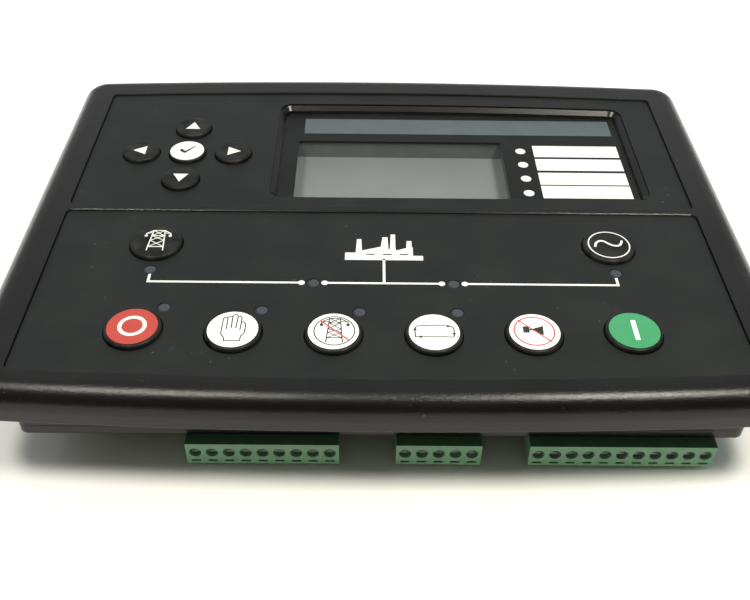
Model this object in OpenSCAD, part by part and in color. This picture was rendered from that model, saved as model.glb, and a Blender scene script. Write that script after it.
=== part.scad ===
// Genset controller for panel mounting, lying on its back: fascia up (+Z), terminal edge towards -Y.
// The origin is the middle of the back face.

/* [Bezel] */
// Width of the bezel
bezel_w = 240; // [236:0.5:246]
// Height of the bezel over the middle of its bowed edges
bezel_h = 181.1; // [178:0.1:186]
// Thickness of the bezel from its rim to the face that meets the panel
bezel_t = 11; // [10:0.5:12]
// Corner radius of the bezel in plan
corner_r = 9.84; // [8.14:0.34:13.24]
// Radius of the bezel's rounded front edge
edge_r = 7; // [5:0.5:8]
// Width of the rim at the two sides
rim_side = 13.4; // [12:0.1:15]
// Width of the rim at the display edge
rim_far = 13.9; // [12.5:0.1:15]
// Width of the rim at the terminal edge
rim_near = 9.8; // [9:0.1:12]
// Thickness of the bezel's face behind the labels
plate_t = 2.5; // [2:0.1:3]
// Wall thickness of the bezel's skirt and collar
skirt_t = 2.2; // [1.8:0.1:2.6]

/* [Case] */
// Depth of the controller from its rim to its back
depth = 41.7; // [40.5:0.1:45]
// Width of the panel cut-out
cutout_w = 220; // [216:0.5:222]
// Height of the panel cut-out
cutout_h = 160; // [158:0.5:164]
// Clearance between the collar and the cut-out on each side
cutout_gap = 0.7; // [0.5:0.1:1.5]
// Length of the collar at its full size behind the panel face
collar_len = 10; // [8:0.5:11]
// Inset of the case's terminal walls behind the collar
waist_in = 2.5; // [1.5:0.1:3]
// Corner radius of the collar and the case
case_r = 3; // [2.2:0.1:5]
// Height of the terminal shelf above the back
shelf_h = 12.9; // [12:0.1:13.5]
// Height of the rear case's edge above the terminal shelf
case_rim = 3.3; // [3:0.1:4]
// Thickness of the rear case
case_t = 2.2; // [1.8:0.1:2.6]
// Width of the raised back
hump_w = 192; // [180:1:198]
// Height of the raised back
hump_h = 112; // [100:1:116]
// Side of the back's chamfered edge
hump_edge = 2; // [1:0.5:3]
// Width of a slot for the prongs of a fixing clip
clip_slot_w = 2.6; // [2:0.1:3.5]
// Length of a clip slot
clip_slot_l = 6; // [4:0.5:7]
// Distance between the three slots of a clip
clip_slot_pitch = 8; // [6:0.5:10]
// Distance of each group of clip slots from the middle of the side
clip_y = 34; // [30:0.5:38]

/* [Labels] */
// Depth of the label recesses below the rim
recess_depth = 1.2; // [0.9:0.1:1.6]
// Thickness of the label sheets
label_t = 0.5; // [0.3:0.1:0.7]
// Width of the ridge between the two labels
ridge_w = 2.5; // [2:0.1:3.5]
// Distance from the middle of the bezel to the upper label's near edge
ridge_y = 0.4; // [0:0.1:1]
// Corner radius of the label recesses
recess_r = 2; // [1:0.1:3]
// Clearance round each label sheet
label_gap = 0.15; // [0.1:0.05:0.25]

/* [Display] */
// From the left side of the panel cut-out to the window
window_left = 72.6; // [70:0.1:76]
// From the right side of the panel cut-out to the window
window_right = 18; // [17:0.1:21]
// From the middle of the bezel's far edge to the window
window_far = 23.6; // [22:0.1:26]
// From the middle of the bezel to the window's near edge
window_near = 7.8; // [7:0.1:8.5]
// Corner radius of the window
window_r = 2.5; // [1.5:0.1:4]
// Depth and width of the sloped walls round the window
well_d = 2; // [1.5:0.1:2.2]
// Thickness of the window
window_t = 1.2; // [0.9:0.1:1.5]
// Width of the ledge that carries the window
ledge_w = 1.2; // [0.8:0.1:1.6]
// From the window's left edge to the liquid crystal field in view
lcd_left = 6.2; // [5.5:0.1:8]
// From the window's right edge to the field
lcd_right = 46.6; // [46.2:0.1:50]
// From the window's near edge to the field
lcd_up = 2; // [1.6:0.1:2.4]
// Height of the field
lcd_h = 36.6; // [34:0.1:38]
// Diameter of an alarm lamp
alarm_d = 3.8; // [3:0.1:4.5]
// Distance between the rows of alarm lamps and text strips
alarm_pitch = 9; // [8.5:0.1:9.2]
// From the window's right edge to the alarm lamps
alarm_in = 39.6; // [39:0.1:41]
// From the window's near edge to the nearest alarm lamp
alarm_up = 6.1; // [5:0.1:7]
// From the window's right edge to the text card's strips
card_in = 3.4; // [2.8:0.1:4]
// Width of a text strip
card_w = 31.6; // [30:0.1:32]

/* [Keys] */
// Radius of a control key
key_r = 8.5; // [8:0.1:9]
// Radius of a menu key
menu_r = 6.65; // [6:0.05:7]
// Rise of the keys above the labels
key_rise = 1.4; // [1:0.1:2]
// Radius of a key's rounded crown
crown_r = 1; // [0.6:0.1:1.2]
// Clearance round each key
key_gap = 0.3; // [0.25:0.05:0.4]
// Travel of a key
key_travel = 0.8; // [0.5:0.1:1]
// Distance between neighbours in the row of control keys
key_pitch = 29.4; // [28:0.1:30]
// From the middle of the bezel to the middle of the key row
key_row_y = 62.5; // [60:0.1:63]
// From the middle of the bezel to the two supply keys, which stand in line with the row's end keys
supply_y = 20.9; // [18:0.1:24]
// From the left side of the panel cut-out to the middle of the menu keys
menu_in = 38.7; // [36.4:0.1:41.4]
// From the middle of the bezel to the middle of the menu keys
menu_y = 32.2; // [30:0.1:34]
// Distance from the middle menu key to the other four
menu_reach = 16.8; // [16:0.1:18]
// Diameter of a status lamp
lamp_d = 4; // [3:0.1:4.5]

/* [Terminals] */
// Distance between the poles of the low voltage plugs
fine_pitch = 5.08; // [5:0.01:5.1]
// Distance between the poles of the mains voltage plug
wide_pitch = 7.62; // [7.5:0.01:7.7]
// Middle of the nine-pole plug from the middle of the bezel
nine_x = -36.2; // [-38:0.1:-35]
// Middle of the five-pole plug from the middle of the bezel
five_x = 17.1; // [15:0.1:19]
// Middle of the eleven-pole plug from the middle of the bezel
eleven_x = 72.7; // [71:0.1:73.5]
// Middle of the thirteen-pole supply plug from the middle of the bezel
supply_plug_x = -40; // [-44:0.5:-36]
// Middle of the eight-pole sensing plug from the middle of the bezel
sensing_x = 50; // [48:0.5:52]
// Height of a plug's outer face
plug_face_h = 8.8; // [8.5:0.1:9.2]
// Gap between a plug's body and the rim of its header
plug_gap = 0.7; // [0.3:0.1:1.1]
// How far a plug stands out of the case's terminal wall
plug_out = 3; // [2:0.1:3.4]
// Width of a plug from its outer face inwards
plug_w = 15; // [14.5:0.1:16]
// Diameter of a screw's access hole
access_d = 3.7; // [3.4:0.1:4]

/* [Hidden] */

// Fineness of the small curves and of the wide arcs
round_fn = 48;
wide_fn = 1440;
$fn = round_fn;
// Length by which a cut overruns the face it opens
over = 1;

plastic = "#2b2c2b";
dark_film = "#1d1e1e";
green = "#4f9a72";
steel = "#b8babb";
board_green = "#1f5a3a";

// Heights of the fascia's levels above the back
rim_z = depth;
floor_z = rim_z - recess_depth;
label_z = floor_z + label_t;
plate_z = floor_z - plate_t;
seat_z = rim_z - bezel_t;
window_z = label_z - well_d;
ledge_z = window_z - window_t;
ledge_t = 1.2;
waist_z = seat_z - collar_len;
case_rim_h = shelf_h + case_rim;
rim_wall = 2;
cavity_z = rim_z - edge_r + rim_wall;

// The collar and the case behind it
collar_w = cutout_w - 2 * cutout_gap;
collar_h = cutout_h - 2 * cutout_gap;
waist_h = collar_h - 2 * waist_in;

// The far edge is an arc about a point below the middle, and the near edge is the same turned round. A right
// triangle with whole sides joins that point, the middle line and a corner's middle, so that the corner meets the arc
bow_sides = [68, 1155, 1157];
mid_x = bezel_w / 2 - corner_r;
bow_k = mid_x / bow_sides[0];
bow_r = bow_k * bow_sides[2] + corner_r;
bow_y = bezel_h / 2 - bow_r;
mid_y = bow_k * bow_sides[1] + bow_y;
// Angle to each side that the arc's section is swept, and how far past a corner's middle its end planes reach
bow_sweep = 4;
wedge_share = 1.1;
corner_share = 0.02;
// Overlap of pieces of one body
lap = 1;

// The window's sides
window_x0 = window_left - cutout_w / 2;
window_x1 = cutout_w / 2 - window_right;

// Levels behind the keys
flange_t = 1;
flange_w = 1.3;
mat_t = 1;
dome_h = 1.5;
dome_gap = 0.1;
dome_r = 3;
dome_foot = 1.5;
board_t = 1.6;
mat_z = plate_z - flange_t - key_travel - dome_gap - dome_h - mat_t;
front_board_z = mat_z - board_t;

// Terminal levels and places, with v up from the plug's back and u inwards from its outer face
header_h = 8.5;
header_floor = 1.2;
header_wall = 1;
header_stand = 0.5;
header_rim_z = shelf_h - header_stand;
plug_back = header_rim_z - plug_gap - plug_face_h;
main_board_z = header_rim_z + header_h;
terminal_y = waist_h / 2 + plug_out;
nose_in = 6.6;
nose_w = 6.8;
nose_gap = 0.2;
nose_end_gap = 0.4;
header_u0 = nose_in - nose_gap - header_wall;
header_w = nose_w + 2 * (nose_gap + header_wall);
plug_end = 0.25;
plug_foot_r = 0.6;

access_down = 3.85;
access_v = plug_face_h - access_down;
access_deep = 5.7;
probe_v = 1.3;
probe_w = 2.8;
probe_h = 0.8;
probe_deep = 3;
clamp_w = 4.1;
clamp_deep = 5.4;
clamp_t = 0.6;
clamp_v0 = 2.2;
clamp_h = 5.2;
wire_w = clamp_w - 2 * clamp_t;
wire_deep = clamp_deep - 2 * clamp_t;
screw_head_r = 1.65;
screw_head_h = 1.6;
screw_in = 1.3;
screw_shank_r = 1.25;
screw_shank_l = 5.5;
screw_gap = 0.1;
driver_slot_w = 0.7;
driver_slot_d = 0.8;
pin_w = 1;
pin_gap = 0.15;
pin_short = 1.1;

// Boards, and the places of their fixings in from the boards' sides and edges
board_side = 10;
board_w = collar_w - 2 * skirt_t - 2 * board_side;
board_edge = 0.5;
board_h = waist_h - 2 * skirt_t - 2 * board_edge;
far_fix_side = 7.1;
far_fix_edge = 3.6;
near_fix_side = 3.1;
near_fix_edge = 14.6;
far_fix_x = board_w / 2 - far_fix_side;
far_fix_y = board_h / 2 - far_fix_edge;
near_fix_x = board_w / 2 - near_fix_side;
near_fix_y = board_h / 2 - near_fix_edge;
board_fixings = [[-far_fix_x, far_fix_y], [far_fix_x, far_fix_y], [-near_fix_x, -near_fix_y], [near_fix_x, -near_fix_y]];
boss_r = 3.2;
fixing_r = 1.5;
fixing_gap = 0.05;
fixing_head_r = 2.8;
fixing_head_h = 1.8;
screw_end = 1;

// Case fixings
boss_sink = 0.4;
case_fix_x = collar_w / 2 - skirt_t - boss_r + boss_sink;
case_fix_y = 54;
case_fixings = [for (sx = [-1, 1], sy = [-1, 1]) [sx * case_fix_x, sy * case_fix_y]];
case_screw_l = 9;
head_sink = 0.4;

// Socket for a service lead in the raised back
usb_x = -70;
usb_y = 20;
usb_w = 12;
usb_d = 11;
usb_bore_w = 8.6;
usb_bore_d = 7.9;
usb_tongue_w = 5.6;
usb_tongue_d = 3.2;
usb_well = 10;
usb_gap = 0.4;
usb_wall = 1.5;
usb_short = 1;

// Key places: the row follows the bow of the near edge
function bow_at(x) = bow_r - sqrt(bow_r * bow_r - x * x);
function row_x(i) = (i - 2.5) * key_pitch;
function row_place(i) = [row_x(i), bow_at(row_x(i)) - key_row_y];
menu_x = menu_in - cutout_w / 2;
up_place = [menu_x, menu_y + menu_reach];
down_place = [menu_x, menu_y - menu_reach];
left_place = [menu_x - menu_reach, menu_y];
right_place = [menu_x + menu_reach, menu_y];
enter_place = [menu_x, menu_y];
mains_place = [row_x(0), -supply_y];
generator_place = [row_x(5), -supply_y];
menu_places = [up_place, down_place, left_place, right_place, enter_place];
control_places = concat([mains_place, generator_place], [for (i = [0:5]) row_place(i)]);

// Lamp places: two below the supply keys, two in the breaker gaps and four beside the mode keys
supply_lamp = 12.8;
breaker_x = 21.8;
mimic_y = -39.6;
mode_lamp_x = 7.4;
mode_lamp_y = 9.7;
lamp_places = concat(
    [mains_place - [0, supply_lamp], [-breaker_x, mimic_y], [breaker_x, mimic_y], generator_place - [0, supply_lamp]],
    [for (i = [0:3]) row_place(i) + [mode_lamp_x, mode_lamp_y]]);
lamp_gap = 0.15;
lamp_sink = 0.1;
alarm_x = window_x1 - alarm_in;
alarm_y = window_near + alarm_up;
alarm_places = [for (i = [3:-1:0]) [alarm_x, alarm_y + i * alarm_pitch]];

inlay_r = key_r - crown_r;
menu_crown_r = 0.5;
menu_inlay_r = menu_r - menu_crown_r;
inlay_t = 0.5;
inlay_sink = 0.45;
inlay_gap = 0.05;
crown_t = 1.6;
key_wall = 1.3;
post_r = 2;

// The bezel's bowed far edge, with the child as its section, from one corner's middle to the other's
module bowed_edge(top) intersection() {
    translate([0, bow_y, 0]) rotate_extrude(start = 90 - bow_sweep, angle = 2 * bow_sweep, $fn = wide_fn)
        translate([bow_r - corner_r, 0]) children();
    translate([0, bow_y, 0]) linear_extrude(top)
        polygon([[0, 0], wedge_share * [mid_x, mid_y - bow_y], wedge_share * [-mid_x, mid_y - bow_y]]);
}

// The bezel's corner, from the straight side to the bowed edge
module bowed_corner(top) {
    far_point = corner_share * [mid_x, mid_y - bow_y];
    translate([mid_x, mid_y, 0]) intersection() {
        rotate_extrude(angle = 90) children();
        linear_extrude(top) polygon([[0, 0], [far_point[1], 0], [far_point[1], far_point[1]], far_point]);
    }
}

// Body in the bezel's outline, with the child as the section of its edge, drawn outwards from the corners' middles
module bowed_body(top) {
    linear_extrude(top) intersection() {
        square([2 * mid_x, bezel_h], center = true);
        translate([0, bow_y]) circle(bow_r - corner_r, $fn = wide_fn);
        translate([0, -bow_y]) circle(bow_r - corner_r, $fn = wide_fn);
    }
    for (a = [0, 180]) rotate(a) {
        bowed_edge(top) children();
        bowed_corner(top) children();
        mirror([1, 0, 0]) bowed_corner(top) children();
        translate([mid_x, mid_y, 0]) rotate([90, 0, 0]) linear_extrude(2 * mid_y) children();
    }
}

// Middle of a corner at x, for a far edge that lies inset from the bezel's, and how far across the corner ends there.
// The lift makes the corner's round cross the arc instead of only touching it
corner_lift = 0.005;
function corner_y(inset, r, x) = bow_y + sqrt(pow(bow_r - inset - r, 2) - x * x) + corner_lift;
function reach_at(inset, r, x) = (bow_r - inset) * x / (bow_r - inset - r);

// Upright body with a bowed far edge and a straight near edge at y_near, between two heights
module bowed_slab(x0, x1, far, y_near, r, z0, z1) {
    xa = x0 + r;
    xb = x1 - r;
    far_a = corner_y(far, r, xa);
    far_b = corner_y(far, r, xb);
    translate([0, 0, z0]) linear_extrude(z1 - z0) {
        intersection() {
            translate([reach_at(far, r, xa), y_near + r])
                square([reach_at(far, r, xb) - reach_at(far, r, xa), bezel_h]);
            translate([0, bow_y]) circle(bow_r - far, $fn = wide_fn);
        }
        translate([x0, y_near + r]) square([r + lap, far_a - y_near - r]);
        translate([xb - lap, y_near + r]) square([r + lap, far_b - y_near - r]);
        translate([xa, y_near]) square([xb - xa, r + lap]);
        for (c = [[xa, y_near + r], [xb, y_near + r], [xa, far_a], [xb, far_b]]) translate(c) circle(r);
    }
}

// Section with a rounded front edge
module rounded_section(r, top, edge) {
    square([r, top - edge]);
    square([r - edge, top]);
    translate([r - edge, top - edge]) intersection() {
        circle(edge, $fn = round_fn);
        square(edge);
    }
}

// Rounded rectangle
module rounded_rect(w, h, r) {
    square([w, h - 2 * r], center = true);
    square([w - 2 * r, h], center = true);
    for (sx = [-1, 1], sy = [-1, 1]) translate([sx * (w / 2 - r), sy * (h / 2 - r)]) circle(r);
}

// Upright block with rounded corners between two heights
module block(w, h, r, z0, z1)
    translate([0, 0, z0]) linear_extrude(z1 - z0) rounded_rect(w, h, r);

module upper_field(inset, z0, z1)
    bowed_slab(rim_side + inset - bezel_w / 2, bezel_w / 2 - rim_side - inset, rim_far + inset,
        inset - ridge_y, recess_r - inset, z0, z1);

// The lower field is drawn like the upper one and turned round
module lower_field(inset, z0, z1)
    rotate(180) bowed_slab(rim_side + inset - bezel_w / 2, bezel_w / 2 - rim_side - inset, rim_near + inset,
        ridge_y + ridge_w + inset, recess_r - inset, z0, z1);

// Window outline, grown by out
module window_field(out, z0, z1)
    bowed_slab(window_x0 - out, window_x1 + out, window_far - out, window_near - out, window_r + out, z0, z1);

// The window's seat with the sloped well above it
well_h = well_d + over;
module window_well() {
    window_field(0, ledge_z, window_z + lap);
    xa = window_x0 + window_r;
    xb = window_x1 - window_r;
    ya = window_near + window_r;
    far_a = corner_y(window_far, window_r, xa);
    far_b = corner_y(window_far, window_r, xb);
    translate([0, 0, window_z]) {
        for (c = [[xa, ya], [xb, ya], [xa, far_a], [xb, far_b]])
            translate([c[0], c[1], 0]) cylinder(r1 = window_r, r2 = window_r + well_h, h = well_h);
        intersection() {
            translate([0, bow_y, 0]) rotate_extrude(start = 90 - bow_sweep, angle = 2 * bow_sweep, $fn = wide_fn)
                polygon([[bow_r - bezel_h, 0], [bow_r - window_far, 0],
                    [bow_r - window_far + well_h, well_h], [bow_r - bezel_h, well_h]]);
            translate([xa, ya, 0]) cube([xb - xa, bezel_h, well_h]);
        }
        translate([0, far_b, 0]) rotate([90, 0, 0]) linear_extrude(far_b - ya)
            polygon([[xb - lap, 0], [window_x1, 0], [window_x1 + well_h, well_h], [xb - lap, well_h]]);
        translate([0, far_a, 0]) rotate([90, 0, 0]) linear_extrude(far_a - ya)
            polygon([[xa + lap, 0], [window_x0, 0], [window_x0 - well_h, well_h], [xa + lap, well_h]]);
        translate([xa, 0, 0]) rotate([90, 0, 90]) linear_extrude(xb - xa)
            polygon([[ya + lap, 0], [window_near, 0], [window_near - well_h, well_h], [ya + lap, well_h]]);
    }
}

module at(places) for (p = places) translate([p[0], p[1], 0]) children();

module post(r, z0, z1) translate([0, 0, z0]) cylinder(r = r, h = z1 - z0);

// Holes for the keys and lamps, between two heights
module key_holes(z0, z1) {
    at(menu_places) post(menu_r + key_gap, z0, z1);
    at(control_places) post(key_r + key_gap, z0, z1);
}
module lamp_holes(z0, z1) at(lamp_places) post(lamp_d / 2 + lamp_gap, z0, z1);

// Slots in the collar's sides for the prongs of the fixing clips
module clip_slots()
    for (side = [-1, 1], group = [-1, 1], i = [-1:1])
        translate([side * collar_w / 2, group * clip_y + i * clip_slot_pitch, waist_z + collar_len / 2])
            cube([2 * skirt_t + over, clip_slot_w, clip_slot_l], center = true);

module bezel_shell() {
    difference() {
        union() {
            translate([0, 0, seat_z]) bowed_body(bezel_t) rounded_section(corner_r, bezel_t, edge_r);
            block(collar_w, collar_h, case_r, waist_z, seat_z + over);
            block(collar_w, waist_h, case_r, case_rim_h, waist_z + over);
        }
        difference() {
            translate([0, 0, seat_z - over]) bowed_body(cavity_z - seat_z + over)
                square([corner_r - skirt_t, cavity_z - seat_z + over]);
            block(collar_w, collar_h, case_r, seat_z - 2 * over, rim_z);
        }
        block(collar_w - 2 * skirt_t, collar_h - 2 * skirt_t, case_r - skirt_t / 2, waist_z, plate_z);
        block(collar_w - 2 * skirt_t, waist_h - 2 * skirt_t, case_r - skirt_t / 2, case_rim_h - over, waist_z + over);
    }
    window_frame();
    at(board_fixings) post(boss_r, mat_z, plate_z + over);
    at(case_fixings) post(boss_r, case_rim_h, plate_z + over);
}

// Thick frame behind the window's edge
module window_frame() {
    y0 = window_near - ledge_w;
    y1 = bezel_h / 2 - window_far + ledge_w;
    translate([(window_x0 + window_x1) / 2, (y0 + y1) / 2, 0])
        block(window_x1 - window_x0 + 2 * ledge_w, y1 - y0, window_r, ledge_z - ledge_t, plate_z + over);
}

module front_bezel() color(plastic) difference() {
    difference() {
        bezel_shell();
        upper_field(0, floor_z, rim_z + over);
        lower_field(0, floor_z, rim_z + over);
    }
    window_well();
    window_field(-ledge_w, ledge_z - ledge_t - over, ledge_z + over);
    key_holes(mat_z, rim_z);
    lamp_holes(mat_z, rim_z);
    clip_slots();
    at(board_fixings) post(fixing_r + fixing_gap, mat_z - over, plate_z);
    at(case_fixings) post(fixing_r + fixing_gap, case_rim_h - over, case_rim_h + case_screw_l);
}

module upper_label() color(dark_film) difference() {
    upper_field(label_gap, floor_z, label_z);
    window_field(well_d, floor_z - over, label_z + over);
    key_holes(floor_z - over, label_z + over);
}

module lower_label() color(dark_film) difference() {
    lower_field(label_gap, floor_z, label_z);
    key_holes(floor_z - over, label_z + over);
    lamp_holes(floor_z - over, label_z + over);
}

module display_window() color("#303334", 0.4) window_field(-label_gap, ledge_z, window_z);

// The liquid crystal panel lies deep in a tray, which hangs by its flange in the front board, over the main board
glass_t = 2.4;
glass_edge = 1.2;
tray_wall = 1.2;
tray_t = 1.4;
tray_flange = 2.5;
tray_flange_t = 0.8;
tray_gap = 0.3;
tray_stand = 0.7;
tray_top_gap = 0.2;
backlight_t = 3;
tray_z = main_board_z + board_t + tray_stand;
tray_top = ledge_z - ledge_t - tray_top_gap;
glass_z = tray_z + tray_t + backlight_t + glass_t;
lcd_w = window_x1 - window_x0 - lcd_left - lcd_right;
lcd_x = window_x0 + lcd_left + lcd_w / 2;
lcd_y = window_near + lcd_up + lcd_h / 2;
glass_w = lcd_w + 2 * glass_edge;
glass_h = lcd_h + 2 * glass_edge;

module lcd_glass() color("#8d9489")
    translate([lcd_x, lcd_y, glass_z - glass_t / 2]) cube([glass_w, glass_h, glass_t], center = true);

module lcd_tray() color(plastic) translate([lcd_x, lcd_y, 0]) difference() {
    union() {
        block(glass_w + 2 * tray_wall, glass_h + 2 * tray_wall, tray_wall, tray_z, tray_top);
        block(glass_w + 2 * (tray_wall + tray_flange), glass_h + 2 * (tray_wall + tray_flange), tray_wall,
            mat_z, mat_z + tray_flange_t);
    }
    translate([0, 0, glass_z - glass_t + tray_top / 2]) cube([glass_w, glass_h, tray_top], center = true);
    translate([0, 0, glass_z - glass_t - backlight_t / 2])
        cube([glass_w - 2 * glass_edge, glass_h - 2 * glass_edge, backlight_t], center = true);
}

card_t = 0.3;
card_side = 0.4;
card_gap = 0.1;
card_end = 4.5;
card_x1 = window_x1 - card_in + card_side;
card_x0 = card_x1 - card_w - 2 * card_side;
card_y0 = window_near + ledge_w + card_gap;
card_y1 = alarm_y + 3 * alarm_pitch + card_end;

module text_card() color("white")
    translate([card_x0, card_y0, ledge_z - card_t]) cube([card_x1 - card_x0, card_y1 - card_y0, card_t]);

module lamp(r, place, top, shade) color(shade) translate([place[0], place[1], 0]) post(r, mat_z, top);
module alarm_lamp(i) lamp(alarm_d / 2, alarm_places[i], ledge_z, "white");
module status_lamp(i) lamp(lamp_d / 2, lamp_places[i], label_z - lamp_sink, "#5a6168");

// Half section of a key: flange, wall, crown with a rounded edge, and the post that meets the key mat
module key_section(r, sunk) difference() {
    union() {
        square([r - crown_r, label_z + key_rise]);
        square([r, label_z + key_rise - crown_r]);
        translate([r - crown_r, label_z + key_rise - crown_r]) circle(crown_r);
        translate([0, plate_z - flange_t - fixing_gap]) square([r + flange_w, flange_t]);
    }
    square([r + flange_w, plate_z - flange_t - fixing_gap]);
    translate([post_r, 0]) square([r - key_wall - post_r, label_z + key_rise - crown_t]);
    if (sunk > 0) translate([0, label_z + key_rise - inlay_sink]) square([sunk, inlay_sink + over]);
}

module key(place, r, sunk = 0) color(dark_film)
    translate([place[0], place[1], 0]) rotate_extrude() key_section(r, sunk);

module inlay(place, r, shade) color(shade)
    translate([place[0], place[1], label_z + key_rise - inlay_sink]) cylinder(r = r - inlay_gap, h = inlay_t);

mat_side = 2;
mat_x = row_x(5) + key_r + mat_side;
mat_near = 3;
mat_far = 6;
mat_rim = 9;

module key_mat() color("#3b3d3e") difference() {
    union() {
        translate([-mat_x, -key_row_y - key_r - mat_near, mat_z])
            cube([2 * mat_x, key_row_y + key_r + mat_near - mat_far, mat_t]);
        translate([menu_x - menu_reach - mat_rim, -mat_far - over, mat_z])
            cube([2 * (menu_reach + mat_rim), menu_y + menu_reach + mat_rim + mat_far + over, mat_t]);
        at(concat(menu_places, control_places))
            translate([0, 0, mat_z + mat_t]) cylinder(r1 = dome_r + dome_foot, r2 = dome_r, h = dome_h);
    }
    lamp_holes(mat_z - over, mat_z + mat_t + over);
}

module board(z, shade) color(shade) difference() {
    block(board_w, board_h, case_r, z, z + board_t);
    at(board_fixings) post(fixing_r + fixing_gap, z - over, z + board_t + over);
    children();
}

module front_board() board(front_board_z, board_green)
    translate([lcd_x, lcd_y, front_board_z + board_t / 2])
        cube([glass_w + 2 * (tray_wall + tray_gap), glass_h + 2 * (tray_wall + tray_gap), board_t + 2 * over],
            center = true);

module main_board() board(main_board_z, board_green);

module board_spacers() color("#d8d8d2") at(board_fixings) difference() {
    post(boss_r, main_board_z + board_t, front_board_z);
    post(fixing_r + fixing_gap, main_board_z, front_board_z + over);
}

module cross_screw(head_z, end_z, head_r) difference() {
    union() {
        post(head_r, head_z, head_z + fixing_head_h);
        post(fixing_r, head_z, end_z);
    }
    for (a = [0, 90]) rotate(a)
        translate([0, 0, head_z]) cube([head_r, driver_slot_w, 2 * driver_slot_d], center = true);
}

module board_screws() color(steel)
    at(board_fixings) cross_screw(main_board_z - fixing_head_h, plate_z - screw_end, fixing_head_r);

module case_screws() color(steel)
    at(case_fixings) cross_screw(shelf_h + head_sink, case_rim_h + case_screw_l - screw_end, fixing_head_r);

// The plugs, with their poles, pitch, middle and edge: -1 the near edge, 1 the far one
nine = [9, fine_pitch, nine_x, -1];
five = [5, fine_pitch, five_x, -1];
eleven = [11, fine_pitch, eleven_x, -1];
supply = [13, fine_pitch, supply_plug_x, 1];
sensing = [8, wide_pitch, sensing_x, 1];
rows = [nine, five, eleven, supply, sensing];

// Puts u inwards, v up and x along the row in place for one plug
module in_row(row)
    translate([row[2], row[3] * terminal_y, plug_back])
        mirror([0, row[3] > 0 ? 1 : 0, 0]) children();
module at_poles(row) for (i = [0:row[0] - 1]) translate([(i - (row[0] - 1) / 2) * row[1], 0, 0]) children();
function row_w(row) = row[0] * row[1];
header_v = header_rim_z - plug_back;
nose_v = header_v + header_h - header_floor - nose_end_gap;
header_side = nose_gap + header_wall;

// Extrudes a section drawn in u and v along the row
module along_row(w) rotate([90, 0, 90]) translate([0, 0, -w / 2]) linear_extrude(w) children();

module clamp_block(grow) translate([0, access_deep + clamp_deep / 2, clamp_v0 + clamp_h / 2])
    cube([clamp_w + grow, clamp_deep + grow, clamp_h + grow], center = true);
module wire_way(low, high) translate([0, access_deep + clamp_deep / 2, (low + high) / 2])
    cube([wire_w, wire_deep, high - low], center = true);

module plug(row) color(green) in_row(row) difference() {
    union() {
        along_row(row_w(row) + 2 * plug_end) {
            square([plug_w, plug_face_h - plug_foot_r]);
            square([plug_w - plug_foot_r, plug_face_h]);
            translate([plug_w - plug_foot_r, plug_face_h - plug_foot_r]) circle(plug_foot_r);
        }
        along_row(row_w(row)) translate([nose_in, plug_face_h - over]) square([nose_w, nose_v - plug_face_h + over]);
    }
    at_poles(row) {
        translate([0, -over, access_v]) rotate([-90, 0, 0]) cylinder(d = access_d, h = access_deep + 2 * over);
        translate([0, probe_deep / 2 - over / 2, probe_v]) cube([probe_w, probe_deep + over, probe_h], center = true);
        clamp_block(0);
        wire_way(-over, clamp_v0 + over);
        translate([0, nose_in + nose_w / 2, (header_v + nose_v) / 2 + over / 2])
            cube([pin_w + 2 * pin_gap, pin_w + 2 * pin_gap, nose_v - header_v + over], center = true);
    }
}

module header(row) color(green) in_row(row) difference() {
    translate([0, header_u0 + header_w / 2, header_v + header_h / 2])
        cube([row_w(row) + 2 * header_side, header_w, header_h], center = true);
    translate([0, header_u0 + header_w / 2, header_v + (header_h - header_floor) / 2 - over / 2])
        cube([row_w(row) + 2 * nose_gap, nose_w + 2 * nose_gap, header_h - header_floor + over], center = true);
    at_poles(row) translate([0, header_u0 + header_w / 2, header_v + header_h])
        cube([pin_w, pin_w, 2 * (header_floor + over)], center = true);
}

module terminal_screws() color(steel) for (row = rows) in_row(row) at_poles(row)
    translate([0, screw_in, access_v]) rotate([-90, 0, 0]) difference() {
        union() {
            cylinder(r = screw_head_r, h = screw_head_h);
            cylinder(r = screw_shank_r, h = screw_shank_l);
        }
        cube([2 * screw_head_r + over, driver_slot_w, 2 * driver_slot_d], center = true);
    }

module wire_clamps() color(steel) for (row = rows) in_row(row) at_poles(row) difference() {
    clamp_block(0);
    wire_way(clamp_v0 - over, clamp_v0 + clamp_h + over);
    translate([0, access_deep - over, access_v]) rotate([-90, 0, 0])
        cylinder(r = screw_shank_r + screw_gap, h = clamp_deep / 2);
}

module contact_pins() color("#c9b06a") for (row = rows) in_row(row) at_poles(row)
    translate([0, header_u0 + header_w / 2, header_v + (header_h + pin_short) / 2])
        cube([pin_w, pin_w, header_h - pin_short], center = true);

// The rear case: a shelf with the terminal openings round a raised, hollow back
module hump(grow, z0, z1)
    block(hump_w + 2 * grow, hump_h + 2 * grow, case_r + hump_edge + grow, z0, z1);

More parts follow.
